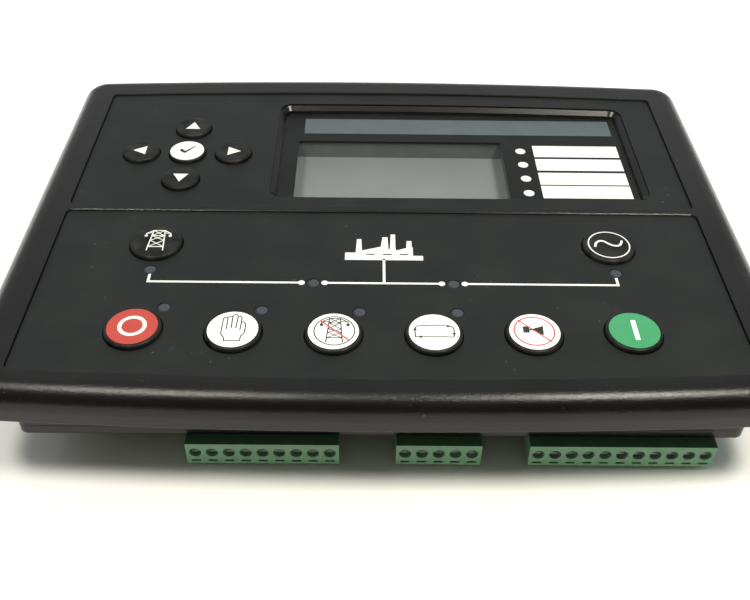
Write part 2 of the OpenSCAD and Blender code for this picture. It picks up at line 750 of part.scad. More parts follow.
module rear_case() color(plastic) difference() {
    union() {
        block(collar_w, waist_h, case_r, shelf_h, case_rim_h);
        hump(0, hump_edge, shelf_h + over);
        hump_chamfer();
        at(case_fixings) post(boss_r + case_t, shelf_h, case_rim_h);
    }
    difference() {
        block(collar_w - 2 * case_t, waist_h - 2 * case_t, case_r - case_t / 2, shelf_h + case_t, case_rim_h + over);
        at(case_fixings) post(boss_r + case_t, shelf_h, case_rim_h + 2 * over);
    }
    difference() {
        hump(-case_t, case_t, shelf_h + case_t + over);
        usb_block(usb_wall + usb_gap, 0, usb_well + usb_wall);
    }
    for (row = rows) in_row(row)
        translate([0, header_u0 + header_w / 2, shelf_h - plug_back])
            cube([row_w(row) + 2 * (header_side + nose_gap), header_w + 2 * nose_gap, 4 * case_t], center = true);
    usb_block(usb_gap, -over, usb_well);
    at(case_fixings) {
        post(fixing_r + fixing_gap, shelf_h - over, case_rim_h + over);
        post(fixing_head_r + fixing_gap, shelf_h - over, shelf_h + head_sink + fixing_head_h);
    }
}

// The back's chamfered edge, in the same rounded outline
module hump_chamfer() {
    r = case_r + hump_edge;
    w = hump_w / 2 - r;
    h = hump_h / 2 - r;
    translate([-w, -h, 0]) cube([2 * w, 2 * h, hump_edge]);
    for (sx = [-1, 1], sy = [-1, 1])
        translate([sx * w, sy * h, 0]) cylinder(r1 = r - hump_edge, r2 = r, h = hump_edge);
    for (a = [0, 180]) rotate(a) {
        translate([w, h, 0]) rotate([90, 0, 0]) linear_extrude(2 * h) hump_section(r);
        rotate(90) translate([h, w, 0]) rotate([90, 0, 0]) linear_extrude(2 * w) hump_section(r);
    }
}
module hump_section(r) polygon([[0, 0], [r - hump_edge, 0], [r, hump_edge], [0, hump_edge]]);

module usb_block(grow, z0, z1)
    translate([usb_x, usb_y, (z0 + z1) / 2]) cube([usb_w + 2 * grow, usb_d + 2 * grow, z1 - z0], center = true);

module usb_socket() color(steel) difference() {
    usb_block(0, usb_short, usb_well);
    difference() {
        translate([usb_x, usb_y, usb_well / 2 - usb_wall / 2])
            cube([usb_bore_w, usb_bore_d, usb_well - usb_wall], center = true);
        translate([usb_x, usb_y, usb_well / 2 + usb_short])
            cube([usb_tongue_w, usb_tongue_d, usb_well - usb_short], center = true);
    }
}

front_bezel();
upper_label();
lower_label();
display_window();
lcd_glass();
lcd_tray();
text_card();
alarm_lamp(0);  // alarm_lamp_1
alarm_lamp(1);  // alarm_lamp_2
alarm_lamp(2);  // alarm_lamp_3
alarm_lamp(3);  // alarm_lamp_4
status_lamp(0);  // status_lamp_1
status_lamp(1);  // status_lamp_2
status_lamp(2);  // status_lamp_3
status_lamp(3);  // status_lamp_4
status_lamp(4);  // status_lamp_5
status_lamp(5);  // status_lamp_6
status_lamp(6);  // status_lamp_7
status_lamp(7);  // status_lamp_8
key(up_place, menu_r);  // up_key
key(down_place, menu_r);  // down_key
key(left_place, menu_r);  // left_key
key(right_place, menu_r);  // right_key
key(enter_place, menu_r, menu_inlay_r);  // enter_key
key(mains_place, key_r);  // mains_key
key(generator_place, key_r);  // generator_key
key(row_place(0), key_r, inlay_r);  // stop_key
key(row_place(1), key_r, inlay_r);  // manual_key
key(row_place(2), key_r, inlay_r);  // test_key
key(row_place(3), key_r, inlay_r);  // auto_key
key(row_place(4), key_r, inlay_r);  // mute_key
key(row_place(5), key_r, inlay_r);  // start_key
inlay(enter_place, menu_inlay_r, "white");  // enter_inlay
inlay(row_place(0), inlay_r, "#e8453f");  // stop_inlay
inlay(row_place(1), inlay_r, "white");  // manual_inlay
inlay(row_place(2), inlay_r, "white");  // test_inlay
inlay(row_place(3), inlay_r, "white");  // auto_inlay
inlay(row_place(4), inlay_r, "white");  // mute_inlay
inlay(row_place(5), inlay_r, "#2aa564");  // start_inlay
key_mat();
front_board();
main_board();
board_spacers();
board_screws();
rear_case();
case_screws();
usb_socket();
header(nine);  // nine_pole_header
header(five);  // five_pole_header
header(eleven);  // eleven_pole_header
header(supply);  // supply_header
header(sensing);  // sensing_header
plug(nine);  // nine_pole_plug
plug(five);  // five_pole_plug
plug(eleven);  // eleven_pole_plug
plug(supply);  // supply_plug
plug(sensing);  // sensing_plug
terminal_screws();
wire_clamps();
contact_pins();
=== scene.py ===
"""Looks of a panel-mounted genset controller lying on its back: finishes, printed marks and a plain stage."""

import math

import bmesh
import bpy
from bpy.props import FloatProperty, FloatVectorProperty, PointerProperty
from bpy.types import Operator, Panel, PropertyGroup
from mathutils import Matrix, Vector
from mathutils.geometry import delaunay_2d_cdt, tessellate_polygon


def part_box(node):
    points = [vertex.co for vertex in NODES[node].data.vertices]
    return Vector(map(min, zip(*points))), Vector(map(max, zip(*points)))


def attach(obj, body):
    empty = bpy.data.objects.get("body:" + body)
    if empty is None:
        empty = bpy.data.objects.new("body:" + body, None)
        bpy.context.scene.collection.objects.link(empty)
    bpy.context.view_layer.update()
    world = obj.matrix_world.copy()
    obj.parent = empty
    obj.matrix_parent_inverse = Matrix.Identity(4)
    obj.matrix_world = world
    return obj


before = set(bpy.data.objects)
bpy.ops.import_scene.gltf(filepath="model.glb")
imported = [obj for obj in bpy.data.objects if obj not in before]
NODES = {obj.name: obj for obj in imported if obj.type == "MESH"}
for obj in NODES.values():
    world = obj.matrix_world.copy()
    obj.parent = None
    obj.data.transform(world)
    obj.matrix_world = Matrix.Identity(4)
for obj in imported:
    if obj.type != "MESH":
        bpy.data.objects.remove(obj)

bl_info = {
    "name": "Genset controller looks",
    "version": (1, 0, 0),
    "blender": (4, 5, 0),
    "location": "3D View > Sidebar > Controller",
    "description": "Finishes, printed marks and stage for a panel-mounted genset controller",
    "category": "Object",
}

MM = 0.001
MENU_KEYS = ("up", "down", "left", "right", "enter")
SUPPLY_KEYS = ("mains", "generator")
MODE_KEYS = ("stop", "manual", "test", "auto", "mute", "start")
ROWS = ("nine_pole", "five_pole", "eleven_pole", "supply", "sensing")
# Places on the window in millimetres, as left, near, right and far sides
DISPLAY_FIELD = (-31.2, 9.9, 45.4, 46.7)
TITLE_STRIP = (-29.6, 52.0, 89.0, 62.6)
STRIP_SIDES = (57.2, 89.2)
STRIP_FEET = (10.9, 19.2, 28.2, 37.1)
ALARM_FIELD_RADIUS = 1.9


def shade(red, green, blue):
    """Linear colour of a display colour given in 0 to 255."""
    parts = [v / 255 for v in (red, green, blue)]
    return tuple(v / 12.92 if v <= 0.04045 else ((v + 0.055) / 1.055) ** 2.4 for v in parts)


def linear_tint(name, description, red, green, blue):
    """Colour property whose default is given in linear light."""
    return FloatVectorProperty(name=name, description=description, subtype="COLOR", size=3, min=0, max=1,
                               default=(red, green, blue))


def tint(name, description, red, green, blue):
    """Colour property whose default is a display colour."""
    return linear_tint(name, description, *shade(red, green, blue))


def length(name, description, millimetres):
    """Length property whose default is given in millimetres."""
    return FloatProperty(name=name, description=description, default=millimetres * MM, min=0, unit="LENGTH",
                         subtype="DISTANCE")


def point(name, description, x, y, z):
    """Point property whose default is given in metres."""
    return FloatVectorProperty(name=name, description=description, default=(x, y, z), size=3, unit="LENGTH",
                               subtype="TRANSLATION")


def angle(name, description, degrees):
    """Angle property whose default is given in degrees."""
    return FloatProperty(name=name, description=description, default=math.radians(degrees), unit="ROTATION",
                         subtype="ANGLE")


def strength(name, description, default, unit="NONE"):
    """Strength property of a light."""
    return FloatProperty(name=name, description=description, default=default, min=0, unit=unit)


class ControllerColours(PropertyGroup):
    """Colours of the mouldings, films, prints and metals."""

    moulding: tint("Moulding", "Grained black bezel and rear case", 10, 10, 9)
    film: tint("Label film", "Matt film of the two labels", 18, 22, 22)
    key: tint("Keys", "Smooth black keys", 12, 13, 12)
    window_print: tint("Window print", "Dark print behind the window", 11, 14, 14)
    title_strip: tint("Title strip", "Bare grey strip along the window's far edge", 86, 98, 104)
    display: tint("Display", "Unlit liquid crystal glass", 134, 140, 141)
    tray: tint("Display tray", "Dark moulding round the liquid crystal glass", 104, 112, 116)
    mark: tint("White marks", "White print on films and keys", 236, 238, 236)
    ink: tint("Black marks", "Black print on the white key faces", 42, 43, 44)
    signal: tint("Red marks", "Red print on the white key faces", 204, 86, 80)
    white_face: tint("White faces", "White printed key faces and paper card", 249, 250, 249)
    stop_face: tint("Red face", "Printed face of the stop key", 188, 67, 57)
    start_face: tint("Green face", "Printed face of the start key", 61, 156, 103)
    lamp: tint("Status lamps", "Unlit grey-blue lenses", 58, 65, 72)
    terminals: tint("Terminals", "Smooth green terminal mouldings", 103, 150, 115)
    board: tint("Circuit boards", "Green solder mask", 30, 92, 56)
    steel: tint("Plated steel", "Screws and socket", 196, 198, 200)
    tin: tint("Tin plating", "Clamps and pins", 206, 198, 176)


class ControllerSizes(PropertyGroup):
    """Sizes of the prints that the solids don't hold."""

    film_depth: length("Print thickness", "Thickness of the printed marks", 0.03)
    fine_line: length("Fine line", "Line width of the drawn symbols", 0.34)
    mimic_line: length("Mimic line", "Width of the single-line diagram's lines", 0.85)
    mimic_dot: length("Mimic dot", "Diameter of the dots at the breaker gaps", 2.1)
    symbol_ring: length("Symbol ring", "Diameter of the rings on the test and mute keys", 12.2)
    strip_height: length("Text strip", "Height of a blank text strip", 7.6)
    grain: length("Grain", "Size of the moulding's grain", 0.42)
    bow: length("Bow radius", "Radius on which the far edges bow", 1884.2)
    print_lift: length("Print lift", "Height of the window's print above the sheet's underside", 0.02)
    title_lift: length("Title lift", "Height of the title strip above the window's print", 0.04)


class StageSettings(PropertyGroup):
    """Camera and light."""

    camera_place: point("Camera", "Place of the camera", -0.005012, -0.258165, 0.230971)
    tilt: angle("Tilt", "How far the camera looks down", 41.9975)
    yaw: angle("Yaw", "How far the camera is turned to the right", 0.6638)
    roll: angle("Roll", "How far the camera leans to the left", 0.928)
    lens: FloatProperty(name="Lens", description="Focal length in millimetres on a 36 mm sensor",
                        default=44.749, min=10)
    right_place: point("Right light", "Place of the soft light overhead on the right", 0.32, -0.245, 0.84)
    right_aim: point("Right aim", "Point that the right light shines at", 0.06, -0.08, 0.04)
    right_power: strength("Right power", "Power of the right light", 5.5, "POWER")
    left_place: point("Left light", "Place of the soft light overhead on the left", -0.27, -0.245, 0.84)
    left_aim: point("Left aim", "Point that the left light shines at", -0.06, -0.08, 0.04)
    left_power: strength("Left power", "Power of the left light", 3.5, "POWER")
    light_width: length("Light width", "Width of both lights", 240)
    light_depth: length("Light depth", "Depth of both lights", 150)
    light_tint: linear_tint("Light tint", "Colour of both lights", 1, 0.955, 0.84)
    wall: strength("Far wall", "Strength of the light from the pale far side", 0.62)
    wall_tint: linear_tint("Wall tint", "Colour of the light from the far side", 0.96, 1, 0.99)
    room: strength("Near room", "Strength of the light from the dim near side", 0.12)
    room_tint: linear_tint("Room tint", "Colour of the light from the near side", 1, 0.95, 0.66)
    table: tint("Table", "White table top", 255, 255, 255)
    glow_centre: point("Glow centre", "Point from which the fading of the table is measured", 0, -0.1, 0)
    glow_start: length("Glow start", "Distance from that point at which the table starts to fade", 200)
    glow_end: length("Glow end", "Distance from that point at which the table has faded to plain white", 420)


class Value:
    """A socket on which Python arithmetic adds the Math nodes."""

    def __init__(self, tree, socket):
        self.tree = tree
        self.socket = socket

    def math(self, operation, *terms):
        node = self.tree.nodes.new("ShaderNodeMath")
        node.operation = operation
        for slot, term in zip(node.inputs, terms):
            if isinstance(term, Value):
                self.tree.links.new(term.socket, slot)
            else:
                slot.default_value = term
        return Value(self.tree, node.outputs[0])

    def __add__(self, other):
        return self.math("ADD", self, other)

    __radd__ = __add__

    def __sub__(self, other):
        return self.math("SUBTRACT", self, other)

    def __rsub__(self, other):
        return self.math("SUBTRACT", other, self)

    def __mul__(self, other):
        return self.math("MULTIPLY", self, other)

    __rmul__ = __mul__

    def __gt__(self, other):
        return self.math("GREATER_THAN", self, other)

    def __lt__(self, other):
        return self.math("LESS_THAN", self, other)


class Nodes:
    """A node tree with the calls that add nodes to it."""

    def __init__(self, tree):
        self.tree = tree

    def feed(self, node, sockets):
        """Sets or links sockets, found by name or identifier."""
        for key, value in sockets.items():
            slot = next(s for s in node.inputs if s.enabled and key in (s.name, s.identifier))
            if isinstance(value, Value):
                self.tree.links.new(value.socket, slot)
            elif slot.type == "RGBA" and len(value) == 3:
                slot.default_value = (*value, 1)
            else:
                slot.default_value = value

    def node(self, kind, settings=None, sockets=None, out=0):
        """Adds a node of a type, with its settings first and then its sockets' values or links."""
        node = self.tree.nodes.new(kind)
        for key, value in (settings or {}).items():
            if key == "stops":
                ramp = node.color_ramp.elements
                while len(ramp) < len(value):
                    ramp.new(0.5)
                for element, (place, grey) in zip(ramp, value):
                    element.position = place
                    element.color = (grey, grey, grey, 1)
            else:
                setattr(node, key, value)
        self.feed(node, sockets or {})
        if isinstance(out, str):
            return Value(self.tree, next(s for s in node.outputs if s.enabled and s.identifier == out))
        return Value(self.tree, node.outputs[out])

    def place(self):
        """Coordinates fixed to the part, in metres."""
        return self.node("ShaderNodeTexCoord", out="Object")

    def part(self, vector, axis):
        """One component of a vector."""
        return self.node("ShaderNodeSeparateXYZ", None, {"Vector": vector}, out=axis)

    def vector(self, operation, a, b=None, out=0):
        """Vector maths on a, or on a and b."""
        sockets = {"Vector": a} if b is None else {"Vector": a, "Vector_001": b}
        return self.node("ShaderNodeVectorMath", {"operation": operation}, sockets, out)

    def noise(self, size, detail=2.0, stretch=None):
        """Noise whose blotches are about the given size in metres."""
        place = self.place()
        if stretch:
            place = self.vector("MULTIPLY", place, stretch)
        return self.node("ShaderNodeTexNoise", None, {"Vector": place, "Scale": 1 / size, "Detail": detail})

    def ramp(self, value, *stops):
        """Value remapped by (place, grey) stops."""
        return self.node("ShaderNodeValToRGB", {"stops": stops}, {"Fac": value})

    def mix(self, a, b, factor):
        """Colour between a and b."""
        sockets = {"Factor_Float": factor, "A_Color": a, "B_Color": b}
        return self.node("ShaderNodeMix", {"data_type": "RGBA"}, sockets, out="Result_Color")

    def blend(self, a, b, factor):
        """Vector between a and b."""
        sockets = {"Factor_Float": factor, "A_Vector": a, "B_Vector": b}
        return self.node("ShaderNodeMix", {"data_type": "VECTOR"}, sockets, out="Result_Vector")

    def dust(self, size, spread):
        """Rare small specks of the given size, in patches of the given spread."""
        specks = self.ramp(self.noise(size, 0), (0.81, 0), (0.85, 1))
        patches = self.ramp(self.noise(spread, 0), (0.6, 0), (0.68, 1))
        return specks * patches

    def bump(self, height, strength, distance, normal=None):
        """Normal of a height field, on top of another normal if there is one."""
        sockets = {"Height": height, "Strength": strength, "Distance": distance}
        if normal:
            sockets["Normal"] = normal
        return self.node("ShaderNodeBump", None, sockets)


class Finish(Nodes):
    """A material with its Principled BSDF."""

    def __init__(self, name, **constants):
        self.material = bpy.data.materials.new(name)
        self.material.use_nodes = True
        super().__init__(self.material.node_tree)
        self.shader = self.tree.nodes["Principled BSDF"]
        self.surface(**constants)

    def surface(self, **sockets):
        """Feeds the Principled BSDF."""
        self.feed(self.shader, {key.replace("_", " "): value for key, value in sockets.items()})
        return self.material


def darker(colour, share):
    """Colour scaled towards black."""
    return tuple(v * share for v in colour)


def paler(colour, share):
    """Colour moved towards white."""
    return tuple(v + (1 - v) * share for v in colour)


def recess_wall(f, normal):
    """Mask of the far walls of the label recesses: steep, turned to the near edge and above the labels."""
    label_top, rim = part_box("upper_label")[1].z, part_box("front_bezel")[1].z
    turned_near = f.part(normal, "Y") < -0.3
    steep = f.part(normal, "Z") < 0.5
    high_up = f.part(f.place(), "Z") > 0.7 * label_top + 0.3 * rim
    return turned_near * steep * high_up


def window_well(f, margin):
    """Mask of the window's sloped well, which ends at a margin from the window's sides."""
    low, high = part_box("display_window")
    reach = (high - low) / 2 + Vector((margin, margin, 0))
    away = f.vector("ABSOLUTE", f.vector("SUBTRACT", f.place(), (low + high) / 2))
    return (f.part(away, "X") < reach.x) * (f.part(away, "Y") < reach.y)


def grained_plastic(name, colour, grain, roughness=0.24, depth=0.0001):
    """Moulded plastic with a fine spark-eroded grain, softened edges, faint clouding and a few dust specks.

    The far walls of the label recesses are too low to be rounded in the solid, so their normals are tilted
    upwards. The window's sloped well is smooth and keeps its crisp edges.
    """
    f = Finish(name, IOR=1.41)
    fine = f.noise(grain, 1)
    cloud = f.noise(0.03, 3)
    body = f.mix(darker(colour, 0.88), paler(colour, 0.004), f.ramp(cloud, (0.35, 0), (0.65, 1)))
    grained = f.mix(body, darker(colour, 0.7), f.ramp(fine, (0.42, 0.5), (0.62, 0)))
    dusty = f.mix(grained, paler(colour, 0.08), f.dust(0.0008, 0.014))
    plain = f.node("ShaderNodeNewGeometry", out="Normal")
    softened = f.node("ShaderNodeBevel", {"samples": 6}, {"Radius": 0.0005})
    tilted = f.vector("ADD", plain, (0, 0, 1.8))
    well = window_well(f, margin=0.0025)
    rounded = f.blend(f.blend(softened, plain, well), tilted, recess_wall(f, plain))
    relief = f.bump(fine * (1 - well), 0.7, depth, rounded)
    return f.surface(Base_Color=dusty, Roughness=roughness - 0.06 + 0.12 * fine, Normal=relief)


def film(name, colour, roughness=0.5, ior=1.4):
    """Matt printed film: almost even, with a slight orange peel and faint dust."""
    f = Finish(name, IOR=ior)
    cloud = f.noise(0.02, 4)
    peel = f.noise(0.0007, 2)
    body = f.mix(darker(colour, 0.94), paler(colour, 0.004), f.ramp(cloud, (0.35, 0), (0.65, 1)))
    return f.surface(Base_Color=f.mix(body, paler(colour, 0.06), f.dust(0.0009, 0.02)),
                     Roughness=roughness - 0.04 + 0.08 * cloud, Normal=f.bump(peel, 0.3, 0.00002))


def smooth_plastic(name, colour, roughness=0.4, variation=0.1, coat=0.0, ior=1.45):
    """Smooth moulded or printed surface with slight clouding and flow waviness."""
    f = Finish(name, IOR=ior, Coat_Roughness=0.12)
    cloud = f.noise(0.006, 3)
    wave = f.noise(0.002, 2)
    tones = darker(colour, 1 - variation), paler(colour, variation * 0.15)
    body = f.mix(*tones, f.ramp(cloud, (0.3, 0), (0.7, 1)))
    return f.surface(Base_Color=body, Roughness=roughness - 0.05 + 0.1 * wave, Coat_Weight=coat,
                     Normal=f.bump(wave, 0.15, 0.00002))


def lens(name, colour, rim, blur=0.04):
    """Clear-tinted lamp lens with a darker rim, its width a share of the lens's diameter."""
    f = Finish(name, IOR=1.45, Coat_Weight=0.2, Coat_Roughness=0.12)
    pale_centre = (0.56, 0.55, 0)
    in_plan = f.vector("MULTIPLY", f.node("ShaderNodeTexCoord", out="Generated"), (1, 1, 0))
    away = f.vector("DISTANCE", in_plan, pale_centre, out="Value")
    edge = f.ramp(away, (0.5 - rim - blur, 0), (0.5 - rim + blur, 1))
    wave = f.noise(0.002, 2)
    return f.surface(Base_Color=f.mix(colour, darker(colour, 0.25), edge), Roughness=0.3 + 0.1 * wave)


def display_face(name, colour, pixel=0.0003):
    """Liquid crystal glass: faint pixel rows under a smooth polariser."""
    f = Finish(name, IOR=1.5)
    cloud = f.noise(0.02, 3)
    across = f.part(f.place(), "X")
    rows = f.ramp(across.math("PINGPONG", across, pixel) * (1 / pixel), (0.1, 0), (0.3, 1))
    body = f.mix(darker(colour, 0.9), colour, f.ramp(cloud, (0.25, 0), (0.75, 1)))
    return f.surface(Base_Color=f.mix(darker(colour, 0.82), body, rows), Roughness=0.32 + 0.1 * cloud)


def clear_sheet(name):
    """Clear polycarbonate with a light hard coat."""
    f = Finish(name, Base_Color=(0.1, 0.105, 0.105), IOR=1.58)
    wave = f.noise(0.01, 2)
    return f.surface(Roughness=0.1 + 0.06 * wave, Alpha=0.02 + 0.02 * wave, Normal=f.bump(wave, 0.1, 0.00002))


def plated_metal(name, colour, roughness=0.3, grain=(1, 1, 1)):
    """Plated metal with fine tool marks and a little dulling."""
    f = Finish(name, Metallic=1.0)
    cloud = f.noise(0.0012, 3)
    marks = f.noise(0.00025, 2, stretch=grain)
    body = f.mix(darker(colour, 0.7), colour, f.ramp(cloud, (0.3, 0), (0.65, 1)))
    relief = f.bump(marks, 0.3, 0.00001)
    return f.surface(Base_Color=body, Roughness=roughness - 0.08 + 0.2 * marks, Normal=relief)


def solder_mask(name, colour, weave_scale=900.0):
    """Green board lacquer with the weave of the laminate showing faintly."""
    f = Finish(name, IOR=1.5)
    bands = []
    for direction in ("X", "Y"):
        settings = {"wave_type": "BANDS", "bands_direction": direction}
        wave = f.node("ShaderNodeTexWave", settings, {"Vector": f.place(), "Scale": weave_scale})
        bands.append(f.node("ShaderNodeRGBToBW", None, {"Color": wave}))
    weave = bands[0] * bands[1]
    return f.surface(Base_Color=f.mix(darker(colour, 0.75), colour, weave), Roughness=0.35 + 0.1 * weave)


def rubber(name, colour):
    """Matt moulded rubber with a chalky bloom."""
    f = Finish(name, IOR=1.45)
    cloud = f.noise(0.004, 5)
    body = f.mix(darker(colour, 0.8), paler(colour, 0.06), cloud)
    relief = f.bump(f.noise(0.0005, 2), 0.2, 0.00003)
    return f.surface(Base_Color=body, Roughness=0.7 + 0.15 * cloud, Normal=relief)


def dress(material, *names):
    """Gives CAD nodes a material."""
    for name in names:
        for slot in NODES[name].material_slots:
            slot.material = material


def disc(x, y, radius, sides=48):
    """Outline of a round dot."""
    turns = (2 * math.pi * i / sides for i in range(sides))
    return [(x + radius * math.cos(turn), y + radius * math.sin(turn)) for turn in turns]


def ring(x, y, diameter, width, sides=72):
    """Outlines of a ring's segments; the diameter is that of its outer edge."""
    outer = disc(x, y, diameter / 2, sides)
    inner = disc(x, y, diameter / 2 - width, sides)
    return [[outer[i - 1], outer[i], inner[i], inner[i - 1]] for i in range(sides)]


def line(start, end, width):
    """Outline of a straight line with square ends."""
    a, b = Vector(start), Vector(end)
    side = (b - a).orthogonal().normalized() * width / 2
    return [tuple(a - side), tuple(b - side), tuple(b + side), tuple(a + side)]


def stroke(points, width, closed=False):
    """Outlines of a pen stroke through points, round at every joint."""
    pairs = list(zip(points, points[1:])) + ([(points[-1], points[0])] if closed else [])
    return [line(a, b, width) for a, b in pairs] + [disc(x, y, width / 2, 12) for x, y in points]


def between(a, b, c, d, t):
    """Coordinate of an even curve through a, b, c and d, at the share t of its way from b to c."""
    straight = 2 * b + (c - a) * t
    return 0.5 * (straight + (2 * a - 5 * b + 4 * c - d) * t * t + (3 * b - a - 3 * c + d) * t ** 3)


def smooth(points, steps=6):
    """Points of a curve that runs evenly through the given ones."""
    padded = [points[0], *points, points[-1]]
    curve = []
    for four in zip(padded, padded[1:], padded[2:], padded[3:]):
        for k in range(steps):
            curve.append(tuple(between(*values, k / steps) for values in zip(*four)))
    return curve + [points[-1]]


def rectangle(x0, y0, x1, y1):
    """Outline of an upright rectangle."""
    return [(x0, y0), (x1, y0), (x1, y1), (x0, y1)]


def shifted(outlines, x, y):
    """Outlines moved by x and y."""
    return [[(px + x, py + y) for px, py in outline] for outline in outlines]


def turned(outline, degrees):
    """Outline turned anticlockwise round its origin."""
    turn = Matrix.Rotation(math.radians(degrees), 2)
    return [tuple(turn @ Vector(corner)) for corner in outline]


def filleted(outline, radius, steps=8):
    """Anticlockwise outline with its corners rounded, all but the nearly straight ones."""
    nearly_straight = math.radians(80)
    result = []
    for i, corner in enumerate(outline):
        here, before, after = Vector(corner), Vector(outline[i - 1]), Vector(outline[(i + 1) % len(outline)])
        to_before, to_after = (before - here).normalized(), (after - here).normalized()
        half = to_before.angle(to_after) / 2
        if half > nearly_straight:
            result.append(corner)
            continue
        centre = here + (to_before + to_after).normalized() * radius / math.sin(half)
        first = here + to_before * radius / math.tan(half) - centre
        turn = math.pi - 2 * half
        for k in range(steps + 1):
            result.append(tuple(centre + Matrix.Rotation(turn * k / steps, 2) @ first))
    return result


def thin_solid(name, points, triangles, top, material, body):
    """Thin solid piece of flat triangles, with its upper face at top, riding on a body."""
    depth = bpy.context.scene.controller_sizes.film_depth
    mesh = bpy.data.meshes.new(name)
    bm = bmesh.new()
    upper = [bm.verts.new((x * MM, y * MM, top)) for x, y in points]
    lower = [bm.verts.new((x * MM, y * MM, top - depth)) for x, y in points]
    for tri in triangles:
        a, b, c = (Vector(points[i]) for i in tri)
        order = tri if (b - a).cross(c - a) > 0 else tuple(reversed(tri))
        bm.faces.new([upper[i] for i in order])
        bm.faces.new([lower[i] for i in reversed(order)])
    number = {vert: i for i, vert in enumerate(upper)}
    rims = [loop for face in bm.faces for loop in face.loops
            if loop.edge.is_boundary and loop.vert in number]
    for i, j in [(number[loop.vert], number[loop.link_loop_next.vert]) for loop in rims]:
        bm.faces.new([upper[j], upper[i], lower[i], lower[j]])
    bmesh.ops.delete(bm, geom=[v for v in bm.verts if not v.link_faces], context="VERTS")
    bm.to_mesh(mesh)
    bm.free()
    piece = bpy.data.objects.new(name, mesh)
    bpy.context.scene.collection.objects.link(piece)
    mesh.materials.append(material)
    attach(piece, body)
    return piece


def printed(name, outlines, top, material, slot, body):
    """Printed mark that covers all of the outlines, drawn in millimetres."""
    points, faces = [], []
    for outline in outlines:
        faces.append(list(range(len(points), len(points) + len(outline))))
        points += [Vector(p) for p in outline]
    corners, _, triangles, _, _, sources = delaunay_2d_cdt(points, [], faces, 0, 0.0005)
    covered = [tuple(triangle) for triangle, within in zip(triangles, sources) if within]
    return thin_solid(name, [tuple(p) for p in corners], covered, top, material, body)


def printed_sheet(name, outline, openings, top, material, body):
    """Printed area with openings in it, drawn in millimetres."""
    loops = [outline, *openings]
    points = [p for loop in loops for p in loop]
    triangles = tessellate_polygon([[Vector((x, y, 0)) for x, y in loop] for loop in loops])
    return thin_solid(name, points, [tuple(t) for t in triangles], top, material, body)


def middle(node):
    """Middle of a node in plan, in millimetres."""
    low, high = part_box(node)
    return (low.x + high.x) / 2 / MM, (low.y + high.y) / 2 / MM


def print_top(node):
    """Height of the upper face of a print on a node."""
    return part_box(node)[1].z + bpy.context.scene.controller_sizes.film_depth


def window_outline(inset, corner, steps=40):
    """Outline of the window in millimetres, inset from its sides, with its bowed far edge."""
    low, high = (Vector(place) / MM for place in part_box("display_window"))
    left, near, right, far = low.x + inset, low.y + inset, high.x - inset, high.y - inset
    bow = bpy.context.scene.controller_sizes.bow / MM
    across = (right - (right - left) * i / steps for i in range(steps + 1))
    return filleted([(left, near), (right, near), *((x, far - x * x / 2 / bow) for x in across)], corner)


def finish_of(name, maker, *arguments, **options):
    """Material by name, made once."""
    return bpy.data.materials.get(name) or maker(name, *arguments, **options)


def white_mark():
    return finish_of("white mark", smooth_plastic, bpy.context.scene.controller_colours.mark, roughness=0.5,
                     variation=0.04)


def black_mark():
    return finish_of("black mark", smooth_plastic, bpy.context.scene.controller_colours.ink, roughness=0.5)


def red_mark():
    return finish_of("red mark", smooth_plastic, bpy.context.scene.controller_colours.signal, roughness=0.5)


class CONTROLLER_OT_mouldings(Operator):
    """Finish the grained bezel and rear case, the labels and the keys"""

    bl_idname = "controller.mouldings"
    bl_label = "Mouldings, labels and keys"

    def execute(self, context):
        colours = context.scene.controller_colours
        grain = context.scene.controller_sizes.grain
        moulding = grained_plastic("grained black moulding", colours.moulding, grain)
        dress(moulding, "front_bezel", "rear_case")
        dress(film("printed label film", colours.film), "upper_label", "lower_label")
        keys = smooth_plastic("smooth black key", colours.key, roughness=0.4, variation=0.16, ior=1.27)
        dress(keys, *(f"{k}_key" for k in MENU_KEYS + SUPPLY_KEYS + MODE_KEYS))
        return {"FINISHED"}


class CONTROLLER_OT_key_faces(Operator):
    """Finish the printed faces that are let into the keys"""

    bl_idname = "controller.key_faces"
    bl_label = "Printed key faces"

    def execute(self, context):
        colours = context.scene.controller_colours
        faces = (("white key face", colours.white_face, 0.03, ("enter", "manual", "test", "auto", "mute")),
                 ("red key face", colours.stop_face, 0.05, ("stop",)),
                 ("green key face", colours.start_face, 0.05, ("start",)))
        for name, colour, variation, keys in faces:
            face = smooth_plastic(name, colour, roughness=0.35, variation=variation, coat=0.3)
            dress(face, *(f"{key}_inlay" for key in keys))
        return {"FINISHED"}


